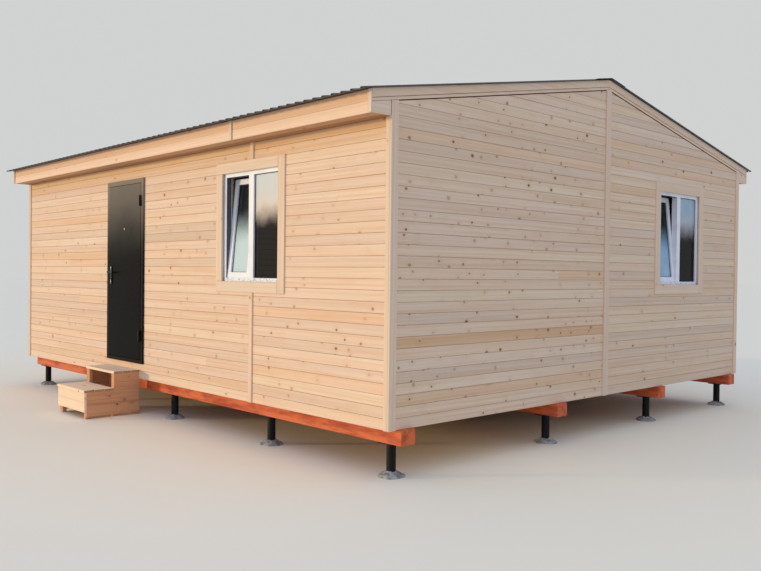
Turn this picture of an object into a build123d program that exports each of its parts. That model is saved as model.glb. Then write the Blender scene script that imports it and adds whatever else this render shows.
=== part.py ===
from build123d import *
import os
from math import cos, radians, sin, tan

# A timber cabin of two modules side by side, on steel piles.
# X runs along the door wall, the door wall faces -Y, the ground is z = 0.
# All sizes are millimetres.

# Overall plan, measured over the corner boards
cabin_length = 7300
cabin_depth = 6000
trim_thick = 20

# Floor, from the underside of the bearers up
bearer_base = 270
bearer_height = 120
bearer_width = 150
bearer_inset = 165
bearer_past_corner = 26
front_bay = 2035
rear_bay = 1725
subfloor_thick = 20
joist_height = 122
joist_width = 45
joist_spacing = 590
deck_thick = 28

# Piles
pile_diameter = 76
first_pile = 207
pile_bays = (1755, 1755, 1777, 1596)
head_side = 150
head_thick = 10
foot_radius = 125
foot_height = 25
foot_sides = 12

# Walls and roof
wall_thick = 130
skirt_thick = 30
door_head = 160
roof_pitch = 10.5
roof_thick = 150
eave_reach = 200
fascia_thick = 20
fascia_height = 175
soffit_thick = 16
eave_end_thick = 15

# Ribbed sheets and ridge cap
sheet_thick = 2
sheet_past_eave = 100
sheet_past_gable = 20
sheet_ridge_gap = 20
rib_spacing = 112
rib_height = 14
rib_foot = 36
rib_crown = 20
cap_reach = 250
cap_past_sheet = 6
cap_thick = 2

# Trims
corner_front_width = 65
corner_gable_width = 75
barge_height = 68
bead_height = 28
bead_thick = 12
barge_joint = 1
gable_strip_width = 85
batten_width = 55
batten_from_right = 1850
fascia_batten_width = 42
fascia_batten_thick = 12
fascia_batten_from_right = 1880

# Windows, both alike: the left light tilts inward, the right one is fixed
window_width = 940
window_height = 1060
window_drop = 73
front_window_from_right = 1890
side_window_from_rear = 1485
casing_width = 100
casing_thick = 20
casing_lap = 20
window_inset = 10
window_depth = 62
window_rail = 55
mullion_width = 76
pane_thick = 24
pane_inset = 20
sash_profile = 52
sash_side_gap = 2
sash_top_gap = 6
sash_inset = 12
sash_tilt = 5.5

# Door: a steel leaf that opens outward on hinges at its right edge
door_from_left = 2940
door_width = 880
door_height = 2050
jamb_face = 50
jamb_depth = 90
jamb_proud = 25
threshold_height = 40
stop_width = 20
stop_depth = 25
leaf_thick = 60
leaf_proud = 3
leaf_gap = 6
lock_gap = 9
hinge_radius = 9
hinge_stand = 20
hinge_length = 60
hinge_split = 0.3
hinge_web = 10
web_offset = 1
hinge_heights = (250, 1740)
handle_height = 1010
handle_inset = 55
plate_width = 42
plate_height = 210
plate_thick = 9
plate_corner = 8.4
neck_radius = 9
neck_length = 38
lever_length = 125
lever_height = 20
lever_thick = 13
lever_edge = 4
key_proud = 4
keyhole_drop = 70
peephole_height = 1500
peephole_radius = 13
peephole_thick = 4

# Steps: a wooden box of two treads that stands in front of the door
step_width = 700
step_left_of_door = 20
tread_thick = 28
floor_to_tread = 68
tread_rise = 180
lower_going = 330
upper_going = 295
tread_overhang = 8
side_board_thick = 25
side_board_base = 25
front_board_base = 75
post_side = 45
seat_gap = 0.3

# Cutting blocks run this far past what they cut
cut_past = 1

# Places worked out from the sizes above
wall_x = cabin_length / 2 - trim_thick
wall_y = cabin_depth / 2 - trim_thick
inner_x = wall_x - wall_thick
inner_y = wall_y - wall_thick
floor_x = wall_x - skirt_thick
floor_y = wall_y - skirt_thick
bearer_right = cabin_length / 2 + bearer_past_corner
bearer_y = wall_y - bearer_inset
bearer_rows = (-bearer_y, front_bay - bearer_y, bearer_y - rear_bay, bearer_y)
bearer_top = bearer_base + bearer_height
cladding_base = bearer_top
joist_base = bearer_top + subfloor_thick
deck_base = joist_base + joist_height
floor_top = deck_base + deck_thick
door_top = floor_top + door_height
soffit_base = door_top + door_head
eave_top = soffit_base + fascia_height
eave_y = cabin_depth / 2 + eave_reach
fascia_back = eave_y - fascia_thick
slope = tan(radians(roof_pitch))
upright = 1 / cos(radians(roof_pitch))
ridge_top = eave_top + slope * eave_y
barge_drop = barge_height + bead_height
door_x = door_from_left - cabin_length / 2
door_left = door_x - door_width / 2
door_right = door_x + door_width / 2
jamb_front = -wall_y - jamb_proud
opening_left = door_left + jamb_face
opening_right = door_right - jamb_face
leaf_left = opening_left + lock_gap
leaf_right = opening_right - leaf_gap
leaf_base = floor_top + threshold_height + leaf_gap
leaf_top = door_top - jamb_face - leaf_gap
leaf_front = jamb_front - leaf_proud
leaf_back = leaf_front + leaf_thick
hinge_x = opening_right
hinge_y = jamb_front - hinge_stand
front_window_x = cabin_length / 2 - front_window_from_right
side_window_y = cabin_depth / 2 - side_window_from_rear
window_base = door_top - window_drop - window_height
light_width = (window_width - 2 * window_rail - mullion_width) / 2
light_height = window_height - 2 * window_rail
light_centre = (light_width + mullion_width) / 2
light_base = window_base + window_rail


def roof_z(y, drop=0):
    # Height of the roof plane at y, or of a plane that lies lower by drop
    return ridge_top - slope * abs(y) - drop


def block(low, high):
    size = [b - a for a, b in zip(low, high)]
    return Pos(*low) * Box(*size, align=(Align.MIN, Align.MIN, Align.MIN))


def along_x(outline, low, high):
    # A profile of (y, z) points run from x = low to x = high
    face = make_face(Plane.YZ * Polyline(*outline, close=True))
    return Pos(low, 0, 0) * extrude(face, high - low, dir=(1, 0, 0))


def along_y(outline, low, high):
    # A profile of (x, z) points run from y = low to y = high
    face = make_face(Plane.XZ * Polyline(*outline, close=True))
    return Pos(0, low, 0) * extrude(face, high - low, dir=(0, 1, 0))


def along_z(outline, low, high):
    face = make_face(Plane.XY * Polyline(*outline, close=True))
    return Pos(0, 0, low) * extrude(face, high - low, dir=(0, 0, 1))


def to_rear(shape):
    return mirror(shape, about=Plane.XZ)


def to_left(shape):
    return mirror(shape, about=Plane.YZ)


def front_and_rear(shape):
    return [shape, to_rear(shape)]


def all_corners(shape):
    pair = front_and_rear(shape)
    return pair + [to_left(piece) for piece in pair]


def ring(width, height, rail, front, back, base):
    # A rectangular frame, centred on x = 0, standing on z = base
    outer = block((-width / 2, front, base), (width / 2, back, base + height))
    inner = block(
        (rail - width / 2, front, base + rail),
        (width / 2 - rail, back, base + height - rail),
    )
    return outer - inner


def front_window_place(shape):
    return Pos(front_window_x, -wall_y, 0) * shape


def side_window_place(shape):
    return Pos(wall_x, side_window_y, 0) * Rot(0, 0, 90) * shape


def pile_points():
    # Measured from the bearers' left end, the bays between piles are uneven
    places = [first_pile - floor_x]
    for bay in pile_bays:
        places.append(places[-1] + bay)
    return [(x, y) for x in places for y in bearer_rows]


def make_pile_feet():
    # A rough round of concrete under each pile, here with straight sides
    foot = extrude(RegularPolygon(foot_radius, foot_sides), foot_height)
    return [Pos(x, y, 0) * foot for x, y in pile_points()]


def make_piles():
    height = bearer_base - head_thick - foot_height
    pile = Cylinder(pile_diameter / 2, height, align=(Align.CENTER, Align.CENTER, Align.MIN))
    return [Pos(x, y, foot_height) * pile for x, y in pile_points()]


def make_pile_heads():
    half = head_side / 2
    plate = block((-half, -half, bearer_base - head_thick), (half, half, bearer_base))
    return [Pos(x, y, 0) * plate for x, y in pile_points()]


def make_bearers():
    half = bearer_width / 2
    beam = block((-floor_x, -half, bearer_base), (bearer_right, half, bearer_top))
    return [Pos(0, y, 0) * beam for y in bearer_rows]


def make_subfloor():
    return block((-floor_x, -floor_y, bearer_top), (floor_x, floor_y, joist_base))


def make_floor_frame():
    # One module's ladder of joists, from the cabin's centre line to its front
    def board(x0, x1, y0, y1):
        return block((x0, y0, joist_base), (x1, y1, deck_base))

    bays = round((2 * floor_x - joist_width) / joist_spacing)
    step = (2 * floor_x - joist_width) / bays
    frame = board(-floor_x, floor_x, -floor_y, joist_width - floor_y)
    frame += board(-floor_x, floor_x, -joist_width, 0)
    for i in range(bays + 1):
        x = step * i - floor_x
        frame += board(x, x + joist_width, -floor_y, 0)
    return frame


def make_floor_deck():
    return block((-floor_x, -floor_y, deck_base), (floor_x, floor_y, floor_top))


def long_wall(low, high):
    # Door wall section: the cladding runs down as a skirt outside the floor
    outline = [
        (-wall_y, cladding_base),
        (-floor_y, cladding_base),
        (-floor_y, floor_top),
        (-inner_y, floor_top),
        (-inner_y, roof_z(inner_y, roof_thick)),
        (-wall_y, roof_z(wall_y, roof_thick)),
    ]
    return along_x(outline, low, high)


def window_hole():
    half = window_width / 2
    top = window_base + window_height
    return block((-half, -cut_past, window_base), (half, wall_thick + cut_past, top))


def make_wall_front_left():
    return long_wall(-wall_x, door_left)


def make_wall_over_door():
    outline = [
        (-wall_y, door_top),
        (-inner_y, door_top),
        (-inner_y, roof_z(inner_y, roof_thick)),
        (-wall_y, roof_z(wall_y, roof_thick)),
    ]
    return along_x(outline, door_left, door_right)


def make_wall_front_right():
    return long_wall(door_right, wall_x) - front_window_place(window_hole())


def make_door_skirt():
    return block((door_left, -wall_y, cladding_base), (door_right, -floor_y, floor_top))


def make_wall_rear():
    return to_rear(long_wall(-wall_x, wall_x))


def gable_wall():
    # Front half of the right gable, from the door wall to the centre line
    outline = [
        (-inner_y, floor_top),
        (0, floor_top),
        (0, roof_z(0, roof_thick)),
        (-inner_y, roof_z(inner_y, roof_thick)),
    ]
    wall = along_x(outline, inner_x, wall_x)
    return wall + block((floor_x, -floor_y, cladding_base), (wall_x, 0, floor_top))


def make_wall_right_rear():
    return to_rear(gable_wall()) - side_window_place(window_hole())


def make_roof_panel():
    outline = [
        (0, roof_z(0)),
        (-fascia_back, roof_z(fascia_back)),
        (-fascia_back, roof_z(fascia_back, roof_thick)),
        (0, roof_z(0, roof_thick)),
    ]
    return along_x(outline, -wall_x, wall_x)


def make_roof_sheet():
    # The sheet's section repeats one trapezoid rib, and its hollow follows below
    half = wall_x + trim_thick + sheet_past_gable
    count = int((2 * half - rib_foot) // rib_spacing)
    first = -rib_spacing * count / 2
    crown = rib_height - sheet_thick
    top = []
    under = []
    for i in range(count + 1):
        x = first + rib_spacing * i
        for side in (-1, 1):
            foot = (x + side * rib_foot / 2, x + side * rib_crown / 2)
            outer = [(foot[0], sheet_thick), (foot[1], rib_height)]
            inner = [
                (foot[0] - side * sheet_thick, 0),
                (foot[1] - side * sheet_thick, crown),
            ]
            top += outer[::-side]
            under += inner[::-side]
    outline = [(-half, 0), (-half, sheet_thick), *top, (half, sheet_thick), (half, 0)]
    outline += under[::-1]
    run = (eave_y + sheet_past_eave) * upright - sheet_ridge_gap
    flat = along_y(outline, -sheet_ridge_gap - run, -sheet_ridge_gap)
    return Pos(0, 0, ridge_top) * Rot(roof_pitch, 0, 0) * flat


def make_ridge_cap():
    low = ridge_top + rib_height * upright
    fall = slope * cap_reach
    thick = cap_thick * upright
    outline = [
        (-cap_reach, low - fall),
        (0, low),
        (cap_reach, low - fall),
        (cap_reach, low - fall + thick),
        (0, low + thick),
        (-cap_reach, low - fall + thick),
    ]
    half = wall_x + trim_thick + sheet_past_gable + cap_past_sheet
    return along_x(outline, -half, half)


def make_fascia():
    outline = [
        (-eave_y, soffit_base),
        (-fascia_back, soffit_base),
        (-fascia_back, roof_z(fascia_back)),
        (-eave_y, roof_z(eave_y)),
    ]
    return along_x(outline, -wall_x, wall_x)


def make_fascia_battens():
    reach = eave_y + fascia_batten_thick
    end = wall_x + trim_thick
    lows = (
        end - fascia_batten_from_right - fascia_batten_width / 2,
        end - fascia_batten_width,
        -end,
    )
    batten = block(
        (0, -reach, soffit_base), (fascia_batten_width, -eave_y, roof_z(reach))
    )
    return [piece for low in lows for piece in front_and_rear(Pos(low, 0, 0) * batten)]


def make_soffit():
    top = soffit_base + soffit_thick
    return block((-wall_x, -fascia_back, soffit_base), (wall_x, -wall_y, top))


def make_eave_end():
    corner_y = cabin_depth / 2
    outline = [
        (-eave_y, soffit_base),
        (-corner_y, soffit_base),
        (-corner_y, roof_z(corner_y, barge_drop)),
        (-eave_y, roof_z(eave_y, barge_drop)),
    ]
    return along_x(outline, wall_x, wall_x + eave_end_thick)


def make_barge_board():
    # A board along the slope with a thinner bead below it
    def strip(high, low, thick):
        outline = [
            (-barge_joint / 2, roof_z(barge_joint / 2, high)),
            (-eave_y, roof_z(eave_y, high)),
            (-eave_y, roof_z(eave_y, low)),
            (-barge_joint / 2, roof_z(barge_joint / 2, low)),
        ]
        return along_x(outline, wall_x, wall_x + thick)

    return strip(0, barge_height, trim_thick) + strip(barge_height, barge_drop, bead_thick)


def make_corner_board():
    # An L of two boards up to the soffit; the gable one goes on to the barge
    x = wall_x + trim_thick
    y = -wall_y - trim_thick
    section = [
        (x - corner_front_width, y),
        (x, y),
        (x, y + corner_gable_width),
        (wall_x, y + corner_gable_width),
        (wall_x, -wall_y),
        (x - corner_front_width, -wall_y),
    ]
    rise = [
        (y, soffit_base),
        (y + corner_gable_width, soffit_base),
        (y + corner_gable_width, roof_z(y + corner_gable_width, barge_drop)),
        (y, roof_z(y, barge_drop)),
    ]
    return along_z(section, cladding_base, soffit_base) + along_x(rise, wall_x, x)


def make_gable_strip():
    half = gable_strip_width / 2
    outline = [
        (-half, cladding_base),
        (half, cladding_base),
        (half, roof_z(half, barge_drop)),
        (0, roof_z(0, barge_drop)),
        (-half, roof_z(half, barge_drop)),
    ]
    return along_x(outline, wall_x, wall_x + trim_thick)


def make_wall_battens():
    # Over the cladding's joint, below and above the front window, and at the rear
    left = cabin_length / 2 - batten_from_right - batten_width / 2
    right = left + batten_width
    face = -wall_y - trim_thick
    casing_base = window_base + casing_lap - casing_width
    casing_top = window_base + window_height - casing_lap + casing_width

    def batten(low, high):
        return block((left, face, low), (right, -wall_y, high))

    rear = to_rear(batten(cladding_base, soffit_base))
    return [batten(cladding_base, casing_base), batten(casing_top, soffit_base), rear]


def make_window_casing():
    grow = 2 * (casing_width - casing_lap)
    base = window_base + casing_lap - casing_width
    width = window_width + grow
    return ring(width, window_height + grow, casing_width, -casing_thick, 0, base)


def make_window_frame():
    back = window_inset + window_depth
    frame = ring(window_width, window_height, window_rail, window_inset, back, window_base)
    low = (-mullion_width / 2, window_inset, light_base)
    return frame + block(low, (mullion_width / 2, back, light_base + light_height))


def make_fixed_pane():
    front = window_inset + pane_inset
    left = light_centre - light_width / 2
    low = (left, front, light_base)
    return block(low, (left + light_width, front + pane_thick, light_base + light_height))


def tilt(shape):
    # Turns a piece of the sash about the sash's lower outer edge
    return Pos(0, window_inset + sash_inset, light_base) * Rot(-sash_tilt, 0, 0) * shape


def sash_size():
    return light_width - 2 * sash_side_gap, light_height - sash_top_gap


def make_sash():
    width, height = sash_size()
    sash = tilt(ring(width, height, sash_profile, 0, window_depth, 0))
    # The foot is cut level, so that it stands on the frame's lower rail
    foot = block((-width, 0, 0), (width, 2 * window_depth, light_base))
    return Pos(-light_centre, 0, 0) * (sash - foot)


def make_sash_pane():
    width, height = sash_size()
    half = width / 2 - sash_profile
    low = (-half, pane_inset, sash_profile)
    pane = block(low, (half, pane_inset + pane_thick, height - sash_profile))
    return Pos(-light_centre, 0, 0) * tilt(pane)


def make_door_frame():
    back = jamb_front + jamb_depth
    frame = block((door_left, jamb_front, floor_top), (door_right, back, door_top))
    base = floor_top + threshold_height
    top = door_top - jamb_face
    frame -= block((opening_left, jamb_front, base), (opening_right, back, top))
    # The leaf closes against a stop at the back of the frame
    stop = block((opening_left, back - stop_depth, base), (opening_right, back, top))
    stop -= block(
        (opening_left + stop_width, back - stop_depth, base + stop_width),
        (opening_right - stop_width, back, top - stop_width),
    )
    return frame + stop


def make_door_leaf():
    return block((leaf_left, leaf_front, leaf_base), (leaf_right, leaf_back, leaf_top))


def hinge_half(low, side, face):
    # Half a barrel, and the web that joins it to the face it is welded on
    barrel = Cylinder(hinge_radius, hinge_length, align=(Align.CENTER, Align.CENTER, Align.MIN))
    edges = sorted((side * web_offset, side * (web_offset + hinge_web)))
    web = block((edges[0], 0, 0), (edges[1], face - hinge_y, hinge_length))
    return Pos(hinge_x, hinge_y, low) * (barrel + web)


def make_frame_hinges():
    return [hinge_half(floor_top + z, 1, jamb_front) for z in hinge_heights]


def make_leaf_hinges():
    rise = hinge_length + hinge_split
    return [hinge_half(floor_top + z + rise, -1, leaf_front) for z in hinge_heights]


def make_handle():
    # Plate, neck and lever, for the outer face of the leaf
    x = leaf_left + handle_inset
    z = floor_top + handle_height
    plate = block(
        (-plate_width / 2, -plate_thick, -plate_height + keyhole_drop),
        (plate_width / 2, 0, keyhole_drop),
    )
    plate = fillet(plate.edges().filter_by(Axis.Y), plate_corner)
    neck = Rot(90, 0, 0) * Cylinder(
        neck_radius, plate_thick + neck_length, align=(Align.CENTER, Align.CENTER, Align.MIN)
    )
    reach = plate_thick + neck_length
    lever = block(
        (-neck_radius, -reach - lever_thick / 2, -lever_height / 2),
        (lever_length, -reach + lever_thick / 2, lever_height / 2),
    )
    lever = fillet(lever.edges().filter_by(Axis.X), lever_edge)
    key = Pos(0, 0, -keyhole_drop) * Rot(90, 0, 0) * Cylinder(
        neck_radius, plate_thick + key_proud, align=(Align.CENTER, Align.CENTER, Align.MIN)
    )
    return Pos(x, leaf_front, z) * (plate + neck + lever + key)


def leaf_mirrored(shape):
    # The same piece on the leaf's inner face
    middle = (leaf_front + leaf_back) / 2
    return mirror(shape, about=Plane.XZ.offset(-middle))


def make_handles():
    outer = make_handle()
    return [outer, leaf_mirrored(outer)]


def make_peepholes():
    x = (leaf_left + leaf_right) / 2
    rim = Rot(90, 0, 0) * Cylinder(
        peephole_radius, peephole_thick, align=(Align.CENTER, Align.CENTER, Align.MIN)
    )
    outer = Pos(x, leaf_front, floor_top + peephole_height) * rim
    return [outer, leaf_mirrored(outer)]


step_left = door_x - step_left_of_door - step_width / 2
step_right = step_left + step_width
upper_tread_top = floor_top - floor_to_tread
lower_tread_top = upper_tread_top - tread_rise
step_back = -wall_y - seat_gap
upper_front = step_back - upper_going
lower_front = upper_front - lower_going
lower_base = lower_tread_top - tread_thick
upper_base = upper_tread_top - tread_thick


def make_step_treads():
    left = step_left - tread_overhang
    right = step_right + tread_overhang
    lower = block(
        (left, lower_front - tread_overhang, lower_base), (right, upper_front, lower_tread_top)
    )
    upper = block(
        (left, upper_front - tread_overhang, upper_base), (right, step_back, upper_tread_top)
    )
    return [lower, upper]


def make_step_sides():
    start = lower_front + side_board_thick
    outline = [
        (start, side_board_base),
        (step_back, side_board_base),
        (step_back, upper_base),
        (upper_front, upper_base),
        (upper_front, lower_base),
        (start, lower_base),
    ]
    return [
        along_x(outline, step_left, step_left + side_board_thick),
        along_x(outline, step_right - side_board_thick, step_right),
    ]


def make_step_posts():
    left = step_left + side_board_thick
    right = step_right - side_board_thick - post_side
    start = lower_front + side_board_thick
    feet = ((start, lower_base), (upper_front, upper_base), (step_back - post_side, upper_base))
    return [
        block((x, y, 0), (x + post_side, y + post_side, top))
        for x in (left, right)
        for y, top in feet
    ]


def make_step_front():
    back = lower_front + side_board_thick
    return block((step_left, lower_front, front_board_base), (step_right, back, lower_base))


nodes = {
    "pile_feet": make_pile_feet(),
    "piles": make_piles(),
    "pile_heads": make_pile_heads(),
    "bearers": make_bearers(),
    "subfloor": make_subfloor(),
    "floor_frame_front": make_floor_frame(),
    "floor_frame_rear": to_rear(make_floor_frame()),
    "floor_deck": make_floor_deck(),
    "door_skirt": make_door_skirt(),
    "wall_front_left": make_wall_front_left(),
    "wall_over_door": make_wall_over_door(),
    "wall_front_right": make_wall_front_right(),
    "wall_rear": make_wall_rear(),
    "wall_left_front": to_left(gable_wall()),
    "wall_left_rear": to_left(to_rear(gable_wall())),
    "wall_right_front": gable_wall(),
    "wall_right_rear": make_wall_right_rear(),
    "roof_panel_front": make_roof_panel(),
    "roof_panel_rear": to_rear(make_roof_panel()),
    "roof_sheet_front": make_roof_sheet(),
    "roof_sheet_rear": to_rear(make_roof_sheet()),
    "ridge_cap": make_ridge_cap(),
    "fascias": front_and_rear(make_fascia()),
    "fascia_battens": make_fascia_battens(),
    "soffits": front_and_rear(make_soffit()),
    "eave_ends": all_corners(make_eave_end()),
    "barge_boards": all_corners(make_barge_board()),
    "corner_boards": all_corners(make_corner_board()),
    "gable_strips": [make_gable_strip(), to_left(make_gable_strip())],
    "wall_battens": make_wall_battens(),
    "door_frame": make_door_frame(),
    "frame_hinges": make_frame_hinges(),
    "door_leaf": make_door_leaf(),
    "leaf_hinges": make_leaf_hinges(),
    "door_handles": make_handles(),
    "door_peephole": make_peepholes(),
    "step_treads": make_step_treads(),
    "step_sides": make_step_sides(),
    "step_posts": make_step_posts(),
    "step_front": make_step_front(),
}
window_pieces = {
    "casing": make_window_casing(),
    "frame": make_window_frame(),
    "glass": make_fixed_pane(),
    "sash": make_sash(),
    "sash_glass": make_sash_pane(),
}
for name, piece in window_pieces.items():
    nodes[f"front_window_{name}"] = front_window_place(piece)
    nodes[f"side_window_{name}"] = side_window_place(piece)

# The steps reach further out than the rear eave, so all moves to centre the whole
rear_reach = eave_y + sheet_past_eave + rib_height * sin(radians(roof_pitch))
front_reach = tread_overhang - lower_front
centring = Pos(0, (front_reach - rear_reach) / 2, 0)

os.makedirs("parts", exist_ok=True)
for name, shape in nodes.items():
    pieces = shape if isinstance(shape, list) else [shape]
    placed = Compound(children=[centring * piece for piece in pieces])
    export_step(placed, f"parts/{name}.step")
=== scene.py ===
import math
import random

import bpy
from mathutils import Matrix, Vector


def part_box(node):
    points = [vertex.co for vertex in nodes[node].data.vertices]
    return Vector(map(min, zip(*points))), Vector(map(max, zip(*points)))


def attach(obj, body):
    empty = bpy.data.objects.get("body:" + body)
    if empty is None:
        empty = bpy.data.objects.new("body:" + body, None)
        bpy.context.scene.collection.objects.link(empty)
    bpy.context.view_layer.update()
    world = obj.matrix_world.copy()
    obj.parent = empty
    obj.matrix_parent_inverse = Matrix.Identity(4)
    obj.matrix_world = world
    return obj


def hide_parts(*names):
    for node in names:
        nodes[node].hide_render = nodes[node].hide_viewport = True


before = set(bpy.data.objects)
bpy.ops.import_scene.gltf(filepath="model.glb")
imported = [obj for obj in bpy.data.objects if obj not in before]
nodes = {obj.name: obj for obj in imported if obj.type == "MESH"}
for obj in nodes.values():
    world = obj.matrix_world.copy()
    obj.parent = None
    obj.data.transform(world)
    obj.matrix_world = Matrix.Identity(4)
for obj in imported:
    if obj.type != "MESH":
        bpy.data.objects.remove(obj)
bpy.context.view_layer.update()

# Faces of the frame that the pieces are laid on, in metres
place = {
    "front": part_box("wall_front_left")[0].y,
    "rear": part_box("wall_rear")[1].y,
    "right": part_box("wall_right_front")[1].x,
    "left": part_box("wall_left_front")[0].x,
    "bottom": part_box("wall_rear")[0].z,
    "soffit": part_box("soffits")[0].z,
}
middle = (place["front"] + place["rear"]) / 2
halfDepth = (place["rear"] - place["front"]) / 2

# The roof's planes, and how far down from them the boards along the gables reach
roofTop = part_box("roof_panel_front")[1].z
roof = {
    "ridge": roofTop,
    "slope": (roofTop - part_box("fascias")[1].z) / (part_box("roof_panel_rear")[1].y - middle),
    "bargeBoard": 0.068, "barge": 0.096, "trimGap": 0.001, "shadowGap": 0.008, "ridgeGap": 0.0005,
    "overrun": 0.1,
}
roof["angle"] = math.atan(roof["slope"])
sharpAngle = math.radians(35)


# Small tools for meshes

def setMode(mode):
    bpy.ops.object.mode_set(mode=mode)


def deselectAll():
    bpy.ops.object.select_all(action="DESELECT")


def activate(piece):
    deselectAll()
    piece.select_set(True)
    bpy.context.view_layer.objects.active = piece


def takePrimitive(name):
    # Names what was just added and puts its place in its mesh
    piece = bpy.context.object
    piece.name = name
    activate(piece)
    bpy.ops.object.transform_apply(location=True, rotation=True, scale=True)
    return piece


def spanOf(points):
    return [Vector(pick(point[k] for point in points) for k in range(3)) for pick in (min, max)]


def startBlock(corner, other, name="block"):
    # A block between two opposite corners, ready to be shaped in edit mode
    low, high = spanOf((corner, other))
    deselectAll()
    bpy.ops.mesh.primitive_cube_add(size=1, location=(low + high) / 2, scale=high - low)
    return takePrimitive(name)


def startRound(radius, depth, centre, sides, turn=(0, 0, 0)):
    deselectAll()
    bpy.ops.mesh.primitive_cylinder_add(
        vertices=sides, radius=radius, depth=depth, location=centre, rotation=turn
    )
    return takePrimitive("round")


def pickNothing(piece, kind):
    # Faces and edges are then picked in code, by their place or normal
    activate(piece)
    setMode("EDIT")
    bpy.ops.mesh.select_mode(type=kind)
    bpy.ops.mesh.select_all(action="DESELECT")
    setMode("OBJECT")


def pickFaces(piece, test):
    # Ends in edit mode, with the faces selected whose normals pass the test
    pickNothing(piece, "FACE")
    for polygon in piece.data.polygons:
        polygon.select = test(polygon.normal)
    setMode("EDIT")


def bevelWhere(piece, test, width, segments=2):
    # Rounds the edges whose two ends pass the test
    pickNothing(piece, "EDGE")
    points = piece.data.vertices
    for edge in piece.data.edges:
        edge.select = test(*(points[i].co for i in edge.vertices))
    setMode("EDIT")
    bpy.ops.mesh.bevel(offset=width, segments=segments, affect="EDGES")
    setMode("OBJECT")


def soften(piece, width, segments=2):
    # Rounds all sharp edges
    activate(piece)
    bevel = piece.modifiers.new("soften", "BEVEL")
    bevel.width = width
    bevel.segments = segments
    bevel.limit_method = "ANGLE"
    bevel.angle_limit = sharpAngle
    bpy.ops.object.modifier_apply(modifier=bevel.name)
    return piece


def softBlock(low, high, width, segments=2):
    return soften(startBlock(low, high), width, segments)


def newObject(name, data):
    made = bpy.data.objects.new(name, data)
    bpy.context.scene.collection.objects.link(made)
    return made


def copyOf(piece):
    return newObject(piece.name, piece.data.copy())


def placed(piece, spot, angle=0.0, axis="X"):
    piece.data.transform(Matrix.Translation(spot) @ Matrix.Rotation(angle, 4, axis))
    return piece


def joined(name, group):
    made = group[0]
    activate(made)
    for piece in group[1:]:
        piece.select_set(True)
    if len(group) > 1:
        bpy.ops.object.join()
    made.name = made.data.name = name
    return made


def cutBy(piece, point, normal):
    # Takes off what lies on the side that the normal points to, and closes the cut
    activate(piece)
    setMode("EDIT")
    bpy.ops.mesh.select_all(action="SELECT")
    bpy.ops.mesh.bisect(
        plane_co=point, plane_no=normal, use_fill=True, clear_outer=True, threshold=0.00001
    )
    setMode("OBJECT")


def cutUnderRoof(piece, side, drop):
    # side is -1 towards the door wall and 1 towards the rear; drop is measured downwards
    normal = Vector((0, side * math.sin(roof["angle"]), math.cos(roof["angle"])))
    cutBy(piece, (0, middle, roof["ridge"] - drop), normal)


def looseBoxes(node):
    # The box of each separate solid in a node of the frame
    points = [nodes[node].matrix_world @ v.co for v in nodes[node].data.vertices]
    spots = {}
    owner = [spots.setdefault(tuple(round(c, 5) for c in point), i) for i, point in enumerate(points)]

    def root(i):
        while owner[i] != i:
            i = owner[i]
        return i

    for edge in nodes[node].data.edges:
        first, second = (root(i) for i in edge.vertices)
        owner[max(first, second)] = min(first, second)
    groups = {}
    for i, point in enumerate(points):
        groups.setdefault(root(i), []).append(point)
    return sorted((spanOf(group) for group in groups.values()), key=lambda pair: tuple(pair[0]))


def paint(piece, finish):
    piece.data.materials.clear()
    piece.data.materials.append(finishes[finish])


def finished(piece, finish, body="cabin", replaced=()):
    paint(piece, finish)
    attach(piece, body)
    if replaced:
        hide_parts(*replaced)


# Shader tools

def maths(operation, flipped=False):
    # A method of Value that adds one maths node
    def method(self, other):
        first, second = (other, self) if flipped else (self, other)
        return self.shader.out("ShaderNodeMath", {"operation": operation}, {0: first, 1: second})
    return method


class Value:
    # A socket that takes part in sums written as plain expressions
    def __init__(self, shader, socket):
        self.shader = shader
        self.socket = socket

    __add__ = __radd__ = maths("ADD")
    __sub__ = maths("SUBTRACT")
    __rsub__ = maths("SUBTRACT", True)
    __mul__ = maths("MULTIPLY")
    __gt__ = maths("GREATER_THAN")
    highest = maths("MAXIMUM")


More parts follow.
